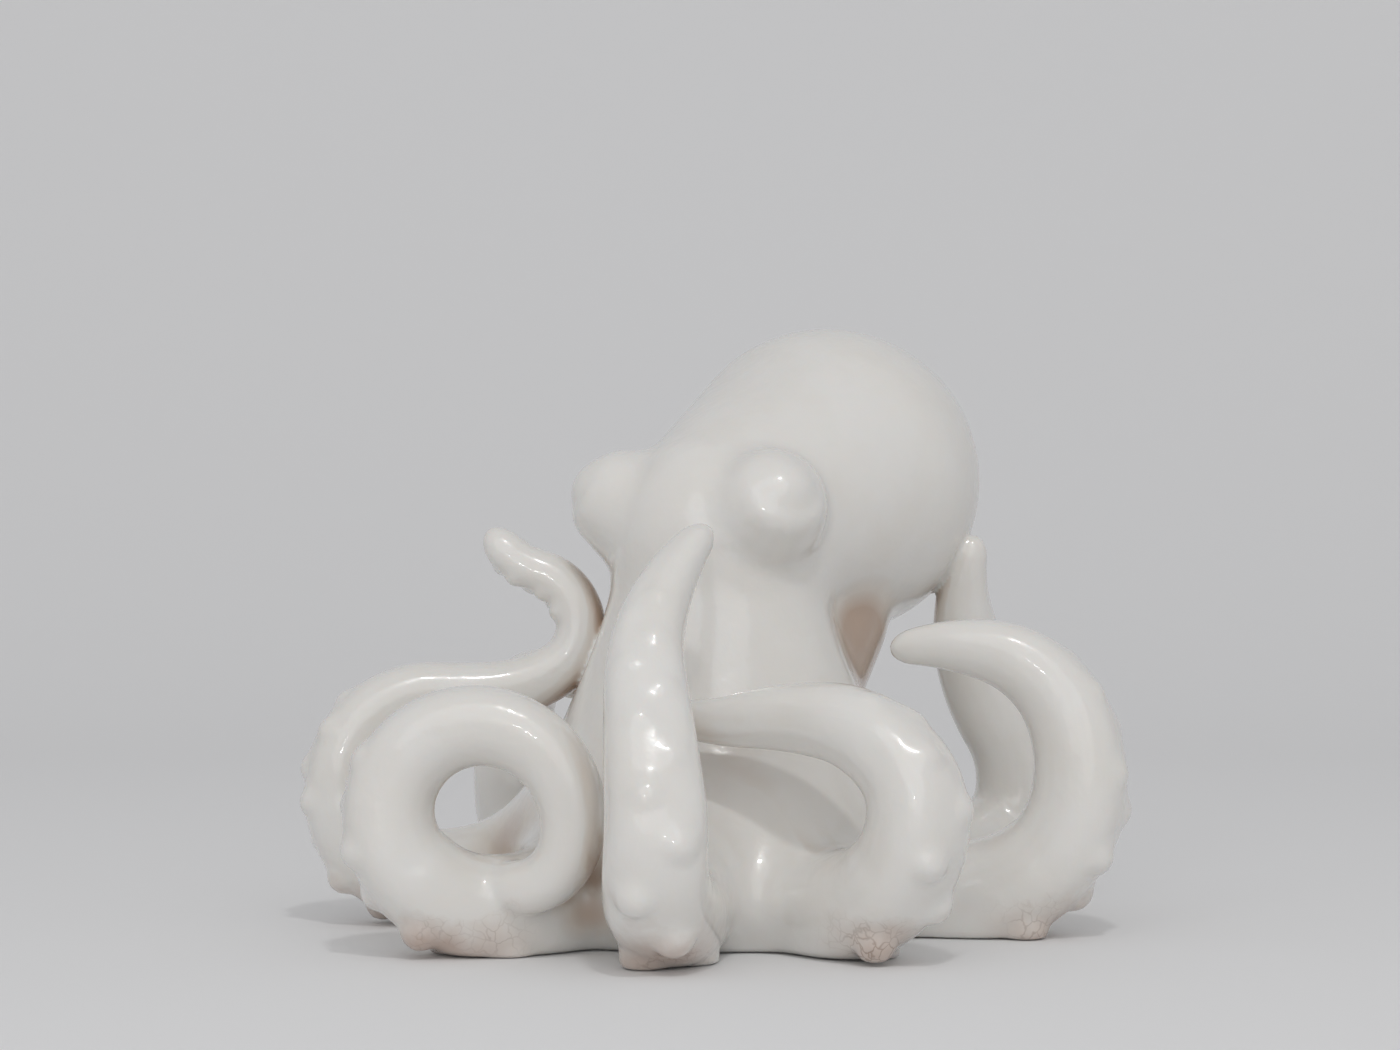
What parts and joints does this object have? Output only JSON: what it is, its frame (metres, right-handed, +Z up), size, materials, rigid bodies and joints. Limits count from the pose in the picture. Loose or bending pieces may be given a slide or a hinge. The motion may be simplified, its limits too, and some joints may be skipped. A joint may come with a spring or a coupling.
{
  "type": "octopus figurine",
  "caption": "Glazed white ceramic octopus with a ball-shaped mantle, raised eyes and curled suckered arms, standing on its arms and skirt.",
  "frame": {"origin": "on the ground, under the neck's axis", "axes": "+Z up; the face looks along -Y; +X is the octopus's own left side"},
  "size_m": [0.1818, 0.1852, 0.1375],
  "materials": {
    "glazed_ceramic": "thick clear gloss glaze over a warm white body"
  },
  "bodies": {
    "figurine": {"mantle_and_skirt": "glazed_ceramic", "arm_left_1": "glazed_ceramic", "arm_left_2": "glazed_ceramic", "arm_left_3": "glazed_ceramic", "arm_left_4": "glazed_ceramic", "arm_right_1": "glazed_ceramic", "arm_right_2": "glazed_ceramic", "arm_right_3": "glazed_ceramic", "arm_right_4": "glazed_ceramic", "eye_left": "glazed_ceramic", "eye_right": "glazed_ceramic"}
  },
  "joints": []
}
